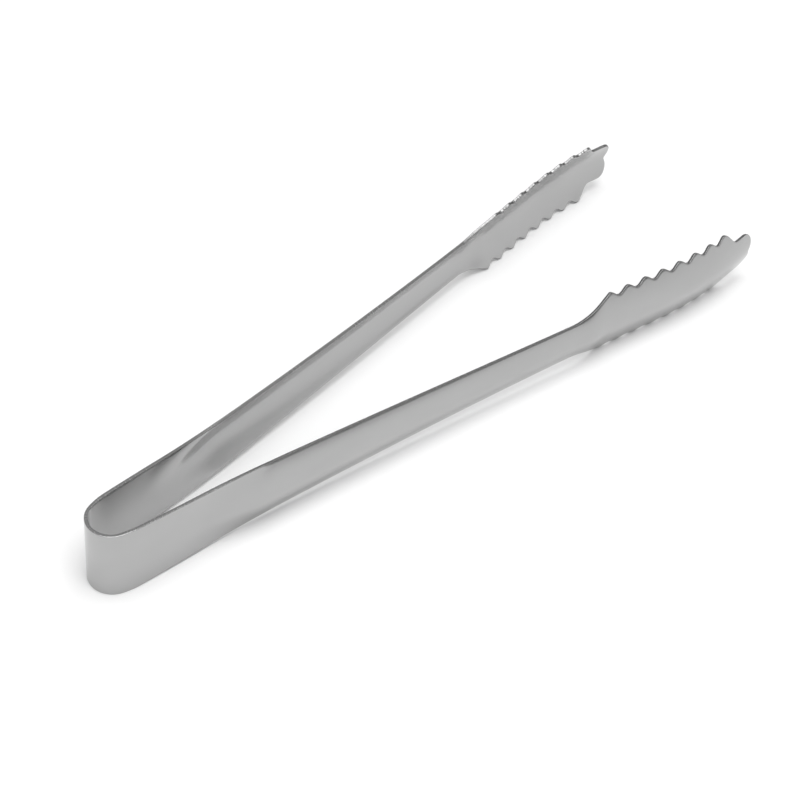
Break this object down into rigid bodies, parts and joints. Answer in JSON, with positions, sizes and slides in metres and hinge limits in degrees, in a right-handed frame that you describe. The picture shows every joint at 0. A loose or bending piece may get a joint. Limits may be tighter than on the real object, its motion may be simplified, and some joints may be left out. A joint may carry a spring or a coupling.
{
  "type": "ice tongs",
  "caption": "Sprung ice tongs bent from one stainless strip: a round springy bow, two dished tapering arms and toothed scoop claws with lobed tips.",
  "frame": {"origin": "middle of the footprint, on the surface that the tongs lie on, with the strip standing on its long edge", "axes": "+X from the bow to the claws, +Y across the arms, +Z the width of the strip; the two sides mirror each other in the XZ plane"},
  "size_m": [0.1765, 0.047, 0.0168],
  "materials": {
    "satin_steel": "satin, fine grain along the strip, bright deburred edges"
  },
  "bodies": {
    "bow": {"spring_bow": "satin_steel"},
    "left_side": {"left_arm": "satin_steel", "left_claw": "satin_steel"},
    "right_side": {"right_arm": "satin_steel", "right_claw": "satin_steel"}
  },
  "joints": [
    {"name": "left_squeeze", "type": "hinge", "parent": "bow", "child": "left_side", "pos_m": [-0.08445, 0.00416, 0.0084], "axis": [0, 0, -1], "range_deg": [0, 7.1], "stiffness_Nm_per_rad": 4.5},
    {"name": "right_squeeze", "type": "hinge", "parent": "bow", "child": "right_side", "pos_m": [-0.08445, -0.00416, 0.0084], "axis": [0, 0, 1], "range_deg": [0, 7.1], "stiffness_Nm_per_rad": 4.5}
  ],
  "couplings": [
    {"joint": "right_squeeze", "follows": "left_squeeze", "ratio": 1}
  ]
}
